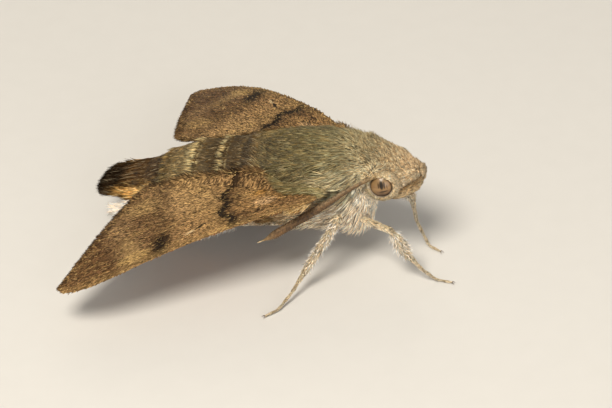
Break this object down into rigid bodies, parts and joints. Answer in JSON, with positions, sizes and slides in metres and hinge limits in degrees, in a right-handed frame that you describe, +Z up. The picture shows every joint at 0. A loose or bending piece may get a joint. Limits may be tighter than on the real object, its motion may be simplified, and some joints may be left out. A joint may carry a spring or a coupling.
{
  "type": "hawk moth model",
  "caption": "Life-size still model of a hummingbird hawk moth at rest, wings swept back over a furry body, standing on its legs.",
  "frame": {"origin": "middle of the moth's bounding box in plan, on the floor that the feet stand on", "axes": "+Z up, -Y towards the head, +X towards the moth's left side"},
  "size_m": [0.0314, 0.0292, 0.011],
  "materials": {
    "head_fur": "short beige-grey fur, matt",
    "palp_scales": "pale flat scales, matt",
    "eye": "hazel brown, smooth and glossy",
    "antenna": "brown, fine scales, satin",
    "thorax_fur": "olive-grey fur, matt",
    "abdomen_fur": "dark grey-brown fur with pale ring edges, matt",
    "tail_fur": "blackish-brown long scales, matt",
    "tuft_fur": "white long scales, matt",
    "forewing": "khaki-brown scales with dark lines, matt",
    "hindwing": "orange-brown scales, matt",
    "leg_scales": "pale grey-beige scales and hair, matt"
  },
  "bodies": {
    "root": {"head": "head_fur", "palp_left": "palp_scales", "palp_right": "palp_scales", "eye_left": "eye", "eye_right": "eye", "antenna_left": "antenna", "antenna_right": "antenna", "thorax": "thorax_fur", "abdomen_ring_1": "abdomen_fur", "abdomen_ring_2": "abdomen_fur", "abdomen_ring_3": "abdomen_fur", "abdomen_ring_4": "abdomen_fur", "tail_brush": "tail_fur", "tail_tuft_left": "tuft_fur", "tail_tuft_right": "tuft_fur", "forewing_left": "forewing", "forewing_right": "forewing", "hindwing_left": "hindwing", "hindwing_right": "hindwing", "foreleg_left": "leg_scales", "foreleg_right": "leg_scales", "midleg_left": "leg_scales", "midleg_right": "leg_scales", "hindleg_left": "leg_scales", "hindleg_right": "leg_scales"}
  },
  "joints": []
}
